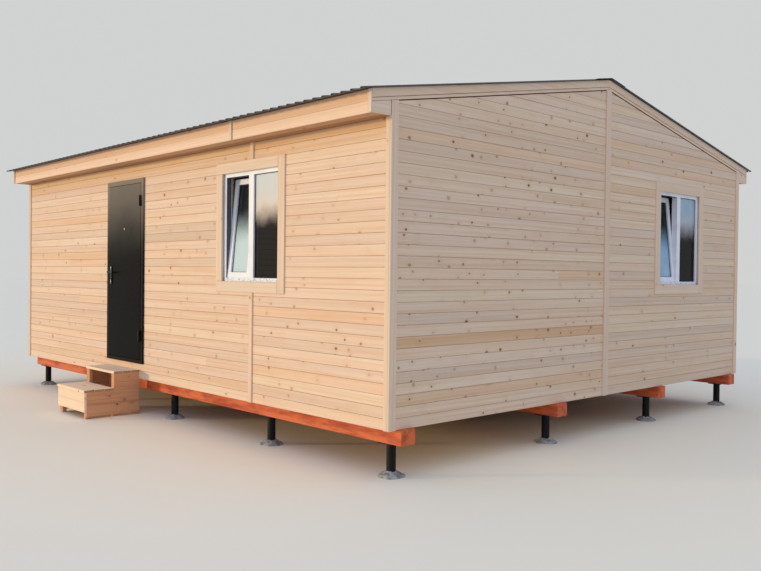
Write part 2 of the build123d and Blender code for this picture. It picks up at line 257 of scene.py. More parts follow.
class Finish:
    # One shader, its nodes made by a single method: a material, or the world if that is its owner
    def __init__(self, name, owner=None, end="ShaderNodeOutputMaterial"):
        self.owner = owner or bpy.data.materials.new(name)
        self.owner.use_nodes = True
        self.tree = self.owner.node_tree
        self.tree.nodes.clear()
        self.end = self.node(end)

    def node(self, kind, settings=None, inputs=None):
        made = self.tree.nodes.new(kind)
        for key, value in (settings or {}).items():
            setattr(made, key, value)
        for key, value in (inputs or {}).items():
            if isinstance(value, Value):
                self.tree.links.new(value.socket, made.inputs[key])
            elif value is not None:
                made.inputs[key].default_value = value
        return made

    def out(self, kind, settings=None, inputs=None, output=0):
        return Value(self, self.node(kind, settings, inputs).outputs[output])

    def close(self, shader):
        self.tree.links.new(shader.socket, self.end.inputs[0])
        return self.owner

    def mix(self, factor, first, second, blend="MIX"):
        def colour(value):
            return value if isinstance(value, Value) else (*value, 1)
        return self.out(
            "ShaderNodeMix", {"data_type": "RGBA", "blend_type": blend, "clamp_factor": True},
            {0: factor, 6: colour(first), 7: colour(second)}, 2,
        )

    def band(self, value, low, high, start=0.0, end=1.0):
        # A smooth step of value between low and high
        return self.out(
            "ShaderNodeMapRange", {"interpolation_type": "SMOOTHSTEP"},
            {0: value, 1: low, 2: high, 3: start, 4: end},
        )

    def noise(self, scale, detail=3.0, rough=0.55, vector=None):
        # In object coordinates unless a vector is given
        return self.out(
            "ShaderNodeTexNoise", {"noise_dimensions": "3D"},
            {"Vector": vector or self.where(), "Scale": scale, "Detail": detail, "Roughness": rough},
        )

    def streak(self, x, y, z, detail=3.0, rough=0.55):
        # Noise stretched by a scale of its own along each axis
        return self.noise(1.0, detail, rough, self.vector(x, y, z))

    def vector(self, x, y, z):
        return self.out("ShaderNodeCombineXYZ", None, {0: x, 1: y, 2: z})

    def parts(self, vector):
        split = self.node("ShaderNodeSeparateXYZ", None, {0: vector})
        return [Value(self, split.outputs[i]) for i in range(3)]

    def where(self):
        return self.out("ShaderNodeTexCoord", None, None, 3)

    def axes(self):
        return self.parts(self.where())

    def bump(self, height, strength, distance):
        return self.out(
            "ShaderNodeBump", None, {"Strength": strength, "Distance": distance, "Height": height}
        )

    def layered(self, colour, *layers):
        # Each layer is a pattern, the two values that it fades in between, its strength and its tone
        for pattern, low, high, strength, tone in layers:
            colour = self.mix(self.band(pattern, low, high) * strength, colour, tone)
        return colour

    def surface(self, colour, rough, bump=None, shine=0.5, metal=0.0):
        # With a bump, rough holds what band takes and bump what the method of that name takes
        if bump:
            rough, bump = self.band(*rough), self.bump(*bump)
        return self.close(self.out("ShaderNodeBsdfPrincipled", None, {
            "Base Color": colour, "Roughness": rough, "Normal": bump,
            "Specular IOR Level": shine, "Metallic": metal,
        }))


def shade(red, green, blue):
    # A colour written as seen on screen, from 0 to 255, as the shader wants it
    def linear(v):
        v /= 255
        return v / 12.92 if v <= 0.04045 else ((v + 0.055) / 1.055) ** 2.4
    return tuple(linear(v) for v in (red, green, blue))


def scaled(colour, share):
    return tuple(v * share for v in colour)


def product(colour, other):
    return tuple(a * b for a, b in zip(colour, other))


# Timber

def tones(pale, deep, knot, heart=0.4):
    # heart is how much of a knot's brightness is left at its middle
    pale, deep, knot = shade(*pale), shade(*deep), shade(*knot)
    return {"pale": pale, "deep": deep, "cool": product(pale, (0.9, 0.94, 1.0)), "knot": knot,
            "heart": scaled(knot, heart)}


# The cladding's knots are paler than the gable's, a painted light as if the sun washed them out
timberLook = {
    "cladding": tones((242, 213, 187), (228, 184, 148), (170, 116, 76), 0.62),
    "gable": tones((239, 213, 188), (222, 184, 149), (132, 86, 60)),
    "trim": tones((240, 214, 190), (226, 192, 160), (150, 100, 66)),
    "fascia": tones((252, 218, 192), (242, 198, 162), (150, 100, 66)),
    "steps": tones((226, 172, 130), (200, 138, 98), (112, 62, 38)),
    "treads": tones((255, 228, 198), (246, 206, 170), (126, 82, 56)),
    "lining": tones((236, 204, 170), (222, 180, 140), (134, 86, 56)),
    "sawn": tones((206, 172, 130), (176, 138, 98), (100, 66, 44)),
}
grainLook = {
    "knotCells": 7.5, "rings": 0.65, "fibre": 0.32, "soil": 0.45, "cool": 0.5,
    "deep": 0.3, "knot": 0.75, "heart": 0.8, "bump": 0.3, "depth": 0.0012, "shine": 0.15,
}
liningLook = {"pitch": 0.09, "groove": 0.004, "skin": 0.001, "outside": shade(92, 68, 52)}


def timber(name, kind, axis=None, knots=0.25, lined=False):
    # axis is the way the grain runs on a plain node; boards carry their own map and tint
    look = timberLook[kind]
    finish = Finish(name)
    band = finish.band
    if axis is None:
        along, across, deep = finish.parts(finish.out("ShaderNodeUVMap", {"uv_map": "grain"}))
    else:
        x, y, z = finish.axes()
        along, across, deep = (x, z, y) if axis == "X" else (y, z, x)

    # Knots lie in some of the cells, each with its own size and age
    flat = {"feature": "F1", "voronoi_dimensions": "2D"}
    cell = {"Vector": finish.vector(along * 0.8, across, 0.0), "Scale": grainLook["knotCells"],
            "Randomness": 0.95}
    spot = finish.out("ShaderNodeTexVoronoi", flat, cell)
    lot, size, age = finish.parts(finish.out("ShaderNodeTexVoronoi", flat, cell, 1))
    chosen = lot > 1 - knots
    near = band(spot, 0.42, 0.05) * chosen
    spot = spot * (0.9 + size * 1.1) + finish.streak(along * 70, across * 70, 0.0, 2.0) * 0.03
    ring = band(spot, 0.16, 0.09) * chosen * (0.35 + age * 0.65)
    heart = band(spot, 0.1, 0.05) * chosen * band(age, 0.45, 0.9)

    # The grain drifts across the board and bends round the knots
    drift = finish.noise(1.6, 2.0, vector=finish.vector(along * 0.6, across * 3.0, deep))
    bent = across + (drift - 0.5) * 0.03 + near * 0.01
    rings = finish.streak(along * 0.45, bent * 46, deep * 3, 2.0, 0.5)
    fibre = finish.streak(along * 5, bent * 420, deep * 60, 3.0, 0.6)
    soil = finish.noise(2.0, 4.0, 0.6, finish.vector(along * 1.3, across * 2.2, deep))
    cool = finish.streak(along * 0.9, across * 7.0, deep + 9.0, 3.0, 0.6)
    colour = finish.layered(
        look["pale"],
        (rings, 0.3, 0.72, grainLook["rings"], look["deep"]),
        (fibre, 0.35, 0.8, grainLook["fibre"], look["deep"]),
        (soil, 0.5, 0.8, grainLook["soil"], look["deep"]),
        (cool, 0.52, 0.72, grainLook["cool"], look["cool"]),
    )
    for mask, tone in ((near, "deep"), (ring, "knot"), (heart, "heart")):
        colour = finish.mix(mask * grainLook[tone], colour, look[tone])
    if axis is None:
        # The boards' tint holds their own tones and also painted shade in grooves, under the eaves and
        # along the beads
        tint = finish.out("ShaderNodeAttribute", {"attribute_name": "tint"})
        colour = finish.mix(1.0, colour, tint, "MULTIPLY")
    height = fibre * 0.5 + rings * 0.3 - ring * 0.4
    if lined:
        # Joints of boards that are seen from inside; the outer faces show only in the gaps, in a painted
        # shade
        half = halfDepth - liningLook["skin"]
        fold = {0: across, 1: liningLook["pitch"] / 2}
        cut = band(finish.out("ShaderNodeMath", {"operation": "PINGPONG"}, fold), 0.0, liningLook["groove"])
        colour = finish.mix(1 - cut, colour, look["knot"])
        gapShadeMask = x * x > (place["right"] - liningLook["skin"]) ** 2
        for depth in (y - middle, middle - y):
            gapShadeMask = gapShadeMask.highest(depth > half)
        colour = finish.mix(gapShadeMask, colour, liningLook["outside"])
        height = height * 0.3 + cut * 2.0
    bump = (height, grainLook["bump"], grainLook["depth"])
    return finish.surface(colour, (fibre, 0.2, 0.9, 0.6, 0.78), bump, grainLook["shine"])


# Other finishes

def stainedTimber():
    finish = Finish("redStain")
    x, y, z = finish.axes()
    fibre = finish.streak(x * 3, y * 160, z * 160, 4.0)
    patch = finish.streak(x * 2.2, y * 12, z * 12, 5.0, 0.65)
    worn = (patch, 0.4, 0.68, 1, shade(172, 70, 46))
    bare = (fibre, 0.56, 0.8, 0.5, shade(222, 150, 106))
    colour = finish.layered(shade(222, 110, 62), worn, bare)
    return finish.surface(colour, (patch, 0.3, 0.8, 0.55, 0.8), (fibre, 0.5, 0.002), 0.3)


def paintedSteel(name, base, dust, rough, grit, metal=0.0):
    finish = Finish(name)
    patch = finish.noise(5.0, 4.0, 0.6)
    grain = finish.noise(900.0, 2.0, 0.6)
    colour = finish.layered(base, (patch, 0.45, 0.85, 0.5, dust), (grain, 0.55, 0.8, 0.2, dust))
    bump = (grain, grit, 0.0006)
    return finish.surface(colour, (patch, 0.2, 0.9, rough, rough + 0.12), bump, 0.2, metal)


# Heights of the windows, which the film's scraps and the panes' painted reflections follow
windowLow, windowHigh = (point.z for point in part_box("front_window_frame"))
windowMid = (windowLow + windowHigh) / 2
fixedReflection = (windowMid - 0.02, windowHigh - 0.3)
tiltedReflection = (windowMid + 0.17, windowMid - 0.17)


def whitePlastic():
    # White profile, with torn bits of film left on the lower rail
    finish = Finish("windowPlastic")
    x, y, z = finish.axes()
    haze = finish.noise(6.0, 4.0)
    scraps = finish.streak(x * 34, y * 34, z * 60, 4.0, 0.7)
    lowRail = finish.band(z, windowLow + 0.062, windowLow + 0.05)
    colour = finish.layered(shade(238, 238, 243), (haze, 0.4, 0.8, 1, shade(222, 223, 231)),
                            (scraps, 0.5, 0.62, lowRail * 0.6, shade(122, 134, 130)))
    return finish.surface(colour, (haze, 0.3, 0.8, 0.28, 0.4), (finish.noise(160.0, 2.0), 0.05, 0.0004))


def paneGlass(name, heights, low, high, near=(150, 162, 166), far=(126, 140, 146)):
    # Painted reflections stand as a pale haze, clear at the first height and full at the second
    finish = Finish(name)
    smear = finish.noise(5.0, 4.0, 0.6)
    rise = finish.axes()[2] + (smear - 0.5) * 0.16
    # The glass is tinted dark and cool, a painted shade for the unlit room seen through it
    glass = finish.out("ShaderNodeBsdfPrincipled", None, {
        "Base Color": finish.mix(smear, shade(*near), shade(*far)),
        "Transmission Weight": 1.0, "IOR": 1.12,
        "Roughness": finish.band(smear, 0.4, 0.8, 0.0, 0.04),
    })
    pale = finish.out("ShaderNodeBsdfPrincipled", None, {
        "Base Color": finish.layered(shade(*low), (rise, windowMid, windowHigh - 0.1, 1, shade(*high)),
                                     (smear, 0.35, 0.7, 0.25, shade(240, 240, 240))),
        "Roughness": finish.band(smear, 0.2, 0.8, 0.08, 0.2),
    })
    haze = finish.band(rise, *heights, 0.02, 0.85)
    return finish.close(finish.out("ShaderNodeMixShader", None, {0: haze, 1: glass, 2: pale}))


def doorPaint(name, low, high):
    # Powder coat, paler towards the top where a painted sky reflection lies on it
    finish = Finish(name)
    patch = finish.noise(2.0, 3.0, 0.5)
    grain = finish.noise(800.0, 2.0, 0.6)
    # Height, made ragged by a patch noise, where the painted sky reflection fades in
    rise = finish.axes()[2] + (patch - 0.5) * 0.25
    colour = finish.layered(low, (rise, 1.7, 2.75, 1, high), (grain, 0.5, 0.8, 0.25, scaled(low, 1.6)))
    return finish.surface(colour, (patch, 0.2, 0.9, 0.26, 0.42), (grain, 0.3, 0.0005), 0.03)


def rubber(name, base, dusty):
    finish = Finish(name)
    dust = finish.noise(40.0, 3.0)
    colour = finish.layered(base, (dust, 0.4, 0.8, 1, dusty))
    return finish.surface(colour, (dust, 0.2, 0.8, 0.6, 0.8), (dust, 0.2, 0.0005))


def brushedMetal(name, base, rough):
    finish = Finish(name)
    x, y, z = finish.axes()
    lines = finish.streak(x * 40, y * 40, z * 1400)
    colour = finish.layered(base, (lines, 0.3, 0.8, 1, scaled(base, 0.8)))
    return finish.surface(colour, (lines, 0.2, 0.8, rough, rough + 0.15), (lines, 0.08, 0.0003), metal=1.0)


def roughConcrete():
    finish = Finish("roughConcrete")
    lump = finish.noise(22.0, 5.0, 0.65)
    grain = finish.noise(260.0, 3.0, 0.7)
    colour = finish.layered(shade(190, 188, 184), (lump, 0.35, 0.65, 1, shade(122, 120, 118)),
                            (grain, 0.5, 0.75, 0.6, shade(88, 84, 78)))
    return finish.surface(colour, (grain, 0.2, 0.8, 0.8, 0.95), (lump + grain * 0.4, 0.8, 0.004), 0.2)


def roofMetal():
    finish = Finish("roofMetal")
    x, y, z = finish.axes()
    streak = finish.streak(x * 14, y * 0.8, z * 0.8, 4.0)
    dust = finish.noise(3.0, 4.0, 0.6)
    colour = finish.layered(shade(38, 42, 50), (streak, 0.4, 0.8, 0.6, shade(66, 70, 78)),
                            (dust, 0.5, 0.85, 0.35, shade(110, 110, 110)))
    return finish.surface(colour, (dust, 0.3, 0.8, 0.34, 0.5), (finish.noise(700.0, 2.0), 0.1, 0.0004))


finishes = {
    "boards": timber("claddingBoards", "cladding", knots=0.28),
    "gableBoards": timber("gableBoards", "gable", knots=0.5),
    "rearGableBoards": timber("rearGableBoards", "gable", knots=0.14),
    "trimBoards": timber("trimBoards", "trim", knots=0.08),
    "fasciaBoards": timber("fasciaBoards", "fascia", knots=0.08),
    "stepBoards": timber("stepBoards", "steps", knots=0.35),
    "treadBoards": timber("treadBoards", "treads"),
    "liningX": timber("liningAlongX", "lining", "X", 0.15, True),
    "liningY": timber("liningAlongY", "lining", "Y", 0.15, True),
    "sawnX": timber("sawnAlongX", "sawn", "X"),
    "sawnY": timber("sawnAlongY", "sawn", "Y"),
    "stain": stainedTimber(),
    "pile": paintedSteel("pileSteel", shade(14, 15, 17), shade(38, 37, 36), 0.5, 0.2),
    "hinge": paintedSteel("hingeSteel", shade(20, 19, 19), shade(46, 42, 40), 0.3, 0.1),
    "door": doorPaint("doorPaint", shade(10, 9, 8), shade(128, 118, 108)),
    "doorFrame": doorPaint("doorFramePaint", shade(30, 25, 22), shade(146, 132, 120)),
    "handle": paintedSteel("handleMetal", shade(24, 24, 25), shade(58, 58, 60), 0.25, 0.0, 0.5),
    "bright": brushedMetal("brightMetal", shade(132, 138, 154), 0.3),
    "roof": roofMetal(),
    "plastic": whitePlastic(),
    "glass": paneGlass("paneGlass", fixedReflection, (255, 224, 198), (230, 234, 232),
                       (126, 144, 178), (108, 126, 160)),
    # The side window's panes are darker, bluer copies: painted shade for the gable in shadow
    "sideGlass": paneGlass("sidePaneGlass", fixedReflection, (196, 186, 188), (160, 192, 214),
                           (82, 98, 92), (60, 76, 70)),
    "tiltedGlass": paneGlass("tiltedPaneGlass", tiltedReflection, (216, 238, 240), (206, 220, 230)),
    "sideTiltedGlass": paneGlass("sideTiltedPaneGlass", tiltedReflection, (140, 190, 224), (150, 180, 206)),
    "rubber": rubber("blackRubber", shade(26, 26, 28), shade(52, 52, 54)),
    # Grey seal that also stands as painted shade deep in the window reveals
    "seal": rubber("greySealAndShade", shade(70, 72, 84), shade(92, 92, 102)),
    "concrete": roughConcrete(),
}
nodeFinish = {
    "pile_feet": "concrete", "piles": "pile", "pile_heads": "pile", "bearers": "stain",
    "subfloor": "sawnX", "floor_frame_front": "sawnY", "floor_frame_rear": "sawnY",
    "floor_deck": "liningX", "wall_rear": "liningX", "wall_over_door": "liningX",
    "door_skirt": "sawnX", "roof_sheet_front": "roof", "roof_sheet_rear": "roof",
    "ridge_cap": "roof", "door_frame": "doorFrame", "frame_hinges": "hinge",
    "door_leaf": "door", "leaf_hinges": "hinge", "door_handles": "handle",
    "door_peephole": "bright",
}


def dressNodes():
    for node, piece in nodes.items():
        if node.endswith(("window_frame", "window_sash")):
            kind = "plastic"
        elif node.endswith("glass"):
            kind = "tiltedGlass" if "sash" in node else "glass"
            kind = "side" + kind[0].upper() + kind[1:] if "side" in node else kind
        else:
            kind = nodeFinish.get(node, "liningX" if "front_" in node else "liningY")
        paint(piece, kind)
    print("frame dressed")


# Boards: one is modelled, and each copy gets its own length, tint and stretch of grain

boardLook = {
    "pitch": 0.0888, "thick": 0.006, "groove": 0.0055, "endGap": 0.0008,
    "shortest": 0.02, "jointApart": 0.5, "seed": 11, "mapSpan": 40,
    "tint": 0.08, "trimSpread": 0.6, "grooveShade": (0.15, 0.09, 0.055), "grooveRange": (0.6, 4.2),
    "odd": ((0.96, 0.89, 0.80), (0.91, 0.92, 0.94), (0.98, 0.92, 0.86)),
    "oddShare": 0.14,
    "eaveShade": {1: (0.87, 0.77, 0.61), 2: (0.96, 0.92, 0.86)},
}
chance = random.Random(boardLook["seed"])


def mildTint(spread=1.0):
    light = 1 + chance.uniform(-1, 0.6) * boardLook["tint"] * spread
    warm = chance.uniform(-1, 1) * boardLook["tint"] * 0.45 * spread
    return (min(1, light + warm * 0.3), light, light - warm)


def wallTint():
    if chance.random() < boardLook["oddShare"]:
        return chance.choice(boardLook["odd"])
    return mildTint()


def layGrain(mesh, along, across):
    # Each board takes its grain from a place of its own in the pattern
    shift = [chance.uniform(0, boardLook["mapSpan"]) for side in range(2)]
    grain = mesh.uv_layers.new(name="grain")
    for loop in mesh.loops:
        point = mesh.vertices[loop.vertex_index].co
        grain.data[loop.index].uv = (along(point) + shift[0], across(point) + shift[1])
    return mesh.attributes.new("tint", "FLOAT_COLOR", "POINT").data


def boardPattern():
    thick = boardLook["thick"]
    board = startBlock((0, -thick, 0), (1, 0, boardLook["pitch"]))

    def outerLength(a, b):
        return min(abs(a.y), abs(b.y)) > thick / 2 and abs(a.x - b.x) > 0.5

    bevelWhere(board, outerLength, boardLook["groove"])
    return board


def cutBoard(pattern, start, end, low, high, tint):
    board = copyOf(pattern)
    mesh = board.data
    tall = high - low
    grow = tall / max(v.co.z for v in mesh.vertices)
    for v in mesh.vertices:
        v.co.x = end - start if v.co.x > 0.5 else 0.0
        v.co.z *= grow
    marks = layGrain(mesh, lambda point: point.x, lambda point: point.z - point.y)
    # The bottom of each groove gets a painted shade, deeper on some boards than on others
    depth = chance.uniform(*boardLook["grooveRange"])
    for v, item in zip(mesh.vertices, marks):
        inGroove = min(v.co.z, tall - v.co.z) < 0.0001 and v.co.y < 0
        item.color = (*(scaled(boardLook["grooveShade"], depth) if inGroove else tint), 1)
    return placed(board, (start, 0, low))


def boardRun(start, end, low, high, holes):
    # What is left of one row of boards once the holes are taken out of it
    runs = [(start, end)]
    for left, right, base, top, lap in holes:
        if min(high, top) - max(low, base) > lap:
            parts = [part for a, b in runs for part in ((a, min(b, left)), (max(a, right), b))]
            runs = [(a, b) for a, b in parts if b - a > boardLook["shortest"]]
    return runs


def cladding(name, start, end, top, turn, holes=(), joint=None, tints=None, jointOdds=0.2):
    # Rows of boards in a wall's own plane, where x runs to the right as seen from outside
    pattern = boardPattern()
    made = []
    row = 0
    low = place["bottom"]
    while low < top - 0.01:
        high = min(low + boardLook["pitch"], top)
        fromTop = math.ceil((top - low) / boardLook["pitch"] - 0.1)
        underEaves = fromTop in boardLook["eaveShade"] and top == place["soffit"]
        under = boardLook["eaveShade"][fromTop] if underEaves else (1, 1, 1)
        given, reach = (tints or {}).get(row, (None, None))
        for a, b in boardRun(start, end, low, high, holes):
            ends = [a, b]
            if joint and a < joint < b:
                ends.insert(1, joint)
            if chance.random() < jointOdds:
                extra = chance.uniform(a, b)
                if min(abs(extra - e) for e in ends) > boardLook["jointApart"]:
                    ends = sorted(ends + [extra])
            for c, d in zip(ends, ends[1:]):
                tint = given if given and reach[0] <= c and d <= reach[1] else wallTint()
                made.append(cutBoard(pattern, c, d - boardLook["endGap"], low, high, product(tint, under)))
        low += boardLook["pitch"]
        row += 1
    bpy.data.objects.remove(pattern)
    wall = joined(name, made)
    wall.data.transform(turn)
    return wall


def holeOf(node, lap, axis=0, start=0.0):
    # Its left and right sides, its base and top, and how far boards may lap over it
    low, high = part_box(node)
    return low[axis] - start, high[axis] - start, low.z, high.z, lap


def wallTurn(angle, origin):
    return Matrix.Translation(origin) @ Matrix.Rotation(math.radians(angle), 4, "Z")


wallLook = {
    "doorLap": 0.008, "windowLap": 0.02, "greyRow": 17, "brownRow": 7,
    "grey": (0.84, 0.85, 0.86), "brown": (0.9, 0.78, 0.64), "frontJoints": 0.1, "gableJoints": 0.12,
}


def buildCladding():
    # Rows of boards behind the corner boards, round the holes; the gables are cut to the roof
    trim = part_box("gable_strips")[1].x - place["right"]
    edge = place["right"] - trim
    half = halfDepth - trim
    door = holeOf("door_frame", wallLook["doorLap"])
    window = holeOf("front_window_frame", wallLook["windowLap"])
    side = holeOf("side_window_frame", wallLook["windowLap"], 1, middle)
    batten = sum(point.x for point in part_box("wall_battens")) / 2
    grey = {wallLook["greyRow"]: (wallLook["grey"], (door[1] - 0.01, window[0] + 0.01))}
    brown = {wallLook["brownRow"]: (wallLook["brown"], (-half, 0))}
    front = cladding("frontBoards", -edge, edge, place["soffit"], wallTurn(0, (0, place["front"], 0)),
                     [door, window], batten, grey, wallLook["frontJoints"])
    rear = cladding("rearBoards", -edge, edge, place["soffit"], wallTurn(180, (0, place["rear"], 0)),
                    [], -batten)
    for wall in (front, rear):
        finished(wall, "boards")
    gables = {
        "rightFrontBoards": (-half, 0, 90, "right", [], brown),
        "rightRearBoards": (0, half, 90, "right", [side], None),
        "leftFrontBoards": (0, half, -90, "left", [], None),
        "leftRearBoards": (-half, 0, -90, "left", [], None),
    }
    for name, (start, end, angle, wall, holes, tints) in gables.items():
        turn = wallTurn(angle, (place[wall], middle, 0))
        piece = cladding(name, start, end, roof["ridge"], turn, holes, None, tints, wallLook["gableJoints"])
        atRear = "Rear" in name
        cutUnderRoof(piece, 1 if atRear else -1, roof["barge"] + roof["shadowGap"])
        finished(piece, "rearGableBoards" if atRear else "gableBoards")
    print("cladding laid")


# Trims, each of the boards that it is made of

def markBoard(piece, axis):
    # A tint of its own, and the grain along one axis
    tint = mildTint(boardLook["trimSpread"])
    k = "XYZ".index(axis)
    first, second = [i for i in range(3) if i != k]
    mesh = piece.data
    for item in layGrain(mesh, lambda point: point[k], lambda point: point[first] + point[second]):
        item.color = (*tint, 1)
    for layer in [layer for layer in mesh.uv_layers if layer.name != "grain"]:
        mesh.uv_layers.remove(layer)
    return piece


def board(low, high, axis, bevel=0.002):
    return markBoard(softBlock(low, high, bevel, 1), axis)


def splitBoards(low, high, axis, across, count, gap=0.0004, bevel=0.002):
    # count boards side by side, which fill the box along the across axis
    k = "XYZ".index(across)
    width = (high[k] - low[k]) / count
    made = []
    for i in range(count):
        a, b = Vector(low), Vector(high)
        a[k] = low[k] + width * i + gap
        b[k] = low[k] + width * (i + 1) - gap
        made.append(board(a, b, axis, bevel))
    return made


def boardUnderRoof(low, high, sides, axis, bevel):
    # A board whose top is cut to the roof's slopes, just under the barge boards
    piece = startBlock(low, high)
    for side in sides:
        cutUnderRoof(piece, side, roof["barge"] + roof["trimGap"])
    return markBoard(soften(piece, bevel, 1), axis)


def tintWhere(piece, test, tint):
    for v, item in zip(piece.data.vertices, piece.data.attributes["tint"].data):
        if test(v.co):
            item.color = (*tint, 1)
    return piece


def trimPiece(name, boards, node, finish="trimBoards"):
    finished(joined(name, boards), finish, "cabin", [node])


def uprightBoards(name, node, edge, finish="trimBoards"):
    # One board for each solid of a node
    boards = [board(low, high, "Z", edge) for low, high in looseBoxes(node)]
    trimPiece(name, boards, node, finish)


eaveLook = {
    "rows": 2, "groove": 0.003, "underSheet": 0.0045, "soffitEdge": 0.002, "battenEdge": 0.0025,
    "endInset": 0.006, "endRise": 0.03, "endEdge": 0.002, "jointWithin": 3,
    # Painted shade: the fascia's upper row lies in the roof edge's shadow, and the soffit darkens inwards
    "fasciaShadeTints": ((1.0, 1.0, 1.0), (0.95, 0.86, 0.76)),
    "soffitShadeTints": ((0.68, 0.55, 0.44), (0.48, 0.34, 0.23)),
}


def eaveRows(node, joint, across, lower, bevel, tints):
    # Boards along both eaves, in rows whose painted shade deepens from the outer edge inwards or from the
    # foot up
    boards = []
    for low, high in looseBoxes(node):
        flip = across == "Y" and low.y > middle
        for start, end in ((low.x, joint), (joint, high.x)):
            rows = splitBoards((start, low.y, low.z), (end, high.y, high.z - lower), "X", across,
                               eaveLook["rows"], bevel=bevel)
            for piece, tint in zip(rows, tints[::-1] if flip else tints):
                for item in piece.data.attributes["tint"].data:
                    item.color = (*product(item.color, tint), 1)
            boards += rows
    return boards


def buildEaves():
    first = next(box for box in looseBoxes("fascia_battens") if abs(box[0].x) < eaveLook["jointWithin"])
    joint = (first[0].x + first[1].x) / 2
    boards = eaveRows("fascias", joint, "Z", eaveLook["underSheet"], eaveLook["groove"],
                      eaveLook["fasciaShadeTints"])
    trimPiece("fasciaBoards", boards, "fascias", "fasciaBoards")
    uprightBoards("fasciaBattenBoards", "fascia_battens", eaveLook["battenEdge"])
    boards = eaveRows("soffits", joint, "Y", 0.0, eaveLook["soffitEdge"], eaveLook["soffitShadeTints"])
    trimPiece("soffitBoards", boards, "soffits")
    ends = []
    for low, high in looseBoxes("eave_ends"):
        side = 1 if low.y > middle else -1
        inner = low if side > 0 else high
        inner.y += side * eaveLook["endInset"]
        high.z += eaveLook["endRise"]
        ends.append(boardUnderRoof(low, high, [side], "Y", eaveLook["endEdge"]))
    trimPiece("eaveEndBoards", ends, "eave_ends")
    print("eaves boarded")


def slopedBoard(x0, x1, side, top, bottom, reach, bevel, segments):
    # A board laid along the roof's slope, cut upright at the ridge and at the eave
    fall = math.cos(roof["angle"])
    corner = (x0, -side * roof["overrun"], -bottom * fall)
    other = (x1, side * (reach + roof["overrun"]) / fall, -top * fall)
    piece = softBlock(corner, other, bevel, segments)
    placed(piece, (0, middle, roof["ridge"]), -side * roof["angle"])
    cutBy(piece, (0, middle + side * roof["ridgeGap"], 0), (0, -side, 0))
    cutBy(piece, (0, middle + side * reach, 0), (0, side, 0))
    return markBoard(piece, "Y")


bargeLook = {
    "joint": 0.001, "edge": 0.002, "beadThick": 0.012, "beadEdge": 0.005,
    "underEdge": 0.0025, "underShadeTint": (0.3, 0.2, 0.13),
}


def buildBarges():
    low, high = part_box("barge_boards")
    reach = high.y - middle
    joint, gap = roof["bargeBoard"], bargeLook["joint"]

    def underside(point):
        # A painted shadow along the bead's lower edge
        below = roof["ridge"] - abs(point.y - middle) * roof["slope"] - point.z
        return below > roof["barge"] - bargeLook["underEdge"]

    boards = []
    for sign, face in ((1, place["right"]), (-1, place["left"])):
        for side in (-1, 1):
            outer = face + sign * (high.x - place["right"])
            boards.append(slopedBoard(face, outer, side, 0.0, joint - gap, reach, bargeLook["edge"], 1))
            outer = face + sign * bargeLook["beadThick"]
            bead = slopedBoard(face, outer, side, joint + gap, roof["barge"], reach,
                               bargeLook["beadEdge"], 3)
            boards.append(tintWhere(bead, underside, bargeLook["underShadeTint"]))
    trimPiece("bargeTrim", boards, "barge_boards")
    print("barges laid")


uprightLook = {"edge": 0.003, "gap": 0.0006, "rise": 0.05}


def buildUprights():
    # Corner boards of two boards each, the strips at the gables' middle and the battens
    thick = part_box("corner_boards")[1].x - place["right"]
    edge = uprightLook["edge"]
    boards = []
    for low, high in looseBoxes("corner_boards"):
        sign = 1 if low.x > 0 else -1
        side = 1 if low.y > middle else -1
        inner, outer = (low.x, high.x)[::sign]
        face = high.y if side > 0 else low.y
        split = outer - sign * thick
        corner = (split - sign * uprightLook["gap"], face - side * thick, place["soffit"])
        boards.append(board((inner, face, low.z), corner, "Z", edge))
        corner = (outer, high.y, high.z + uprightLook["rise"])
        boards.append(boardUnderRoof((split, low.y, low.z), corner, [side], "Z", edge))
    trimPiece("cornerTrim", boards, "corner_boards")
    strips = []
    for low, high in looseBoxes("gable_strips"):
        high.z += uprightLook["rise"]
        strips.append(boardUnderRoof(low, high, [-1, 1], "Z", edge))
    trimPiece("gableStripBoards", strips, "gable_strips")
    uprightBoards("wallBattenBoards", "wall_battens", edge, "boards")
    print("uprights laid")


# Windows: casings, dark gaskets round the panes, seals that also stand as painted shade in the reveals, and
# drain covers on the lower rail

casingLook = {"width": 0.1, "edge": 0.004, "gap": 0.0006}
glazing = {
    "gasket": 0.006, "proud": 0.004, "gasketEdge": 0.0012, "tilt": 5.5,
    "seal": 0.0012, "sealEdge": 0.0004, "sealFrom": 0.006, "sealTo": 0.056,
    "coverWide": 0.032, "coverHigh": 0.01, "coverProud": 0.004, "coverUp": 0.018, "coverEdge": 0.0015,
    "coverShares": (0.22, 0.78),
}


def windowTurn(window):
    # From the window's own plane to its wall: x to the right, y into the wall, z up
    centre = sum(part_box(window + "_casing"), Vector()) / 2
    if "side" in window:
        return wallTurn(90, (place["right"], centre.y, 0))
    return wallTurn(0, (centre.x, place["front"], 0))


def windowPiece(window, name, group, finish, replaced=()):
    piece = joined(window.split("_")[0] + name, group)
    piece.data.transform(windowTurn(window))
    finished(piece, finish, "cabin", replaced)


def buildCasing(window):
    # The right upright runs full height
    low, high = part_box(window + "_casing")
    sizes = (high.x - low.x, high.y - low.y)
    half, thick = max(sizes) / 2, min(sizes)
    wide, gap = casingLook["width"], casingLook["gap"]
    spans = (
        ((half - wide, -thick, low.z), (half, 0, high.z), "Z"),
        ((-half, -thick, low.z + wide + gap), (-half + wide, 0, high.z - wide - gap), "Z"),
        ((-half, -thick, high.z - wide), (half - wide - gap, 0, high.z), "X"),
        ((-half, -thick, low.z), (half - wide - gap, 0, low.z + wide), "X"),
    )
    boards = [board(a, b, axis, casingLook["edge"]) for a, b, axis in spans]
    windowPiece(window, "CasingBoards", boards, "trimBoards", [window + "_casing"])


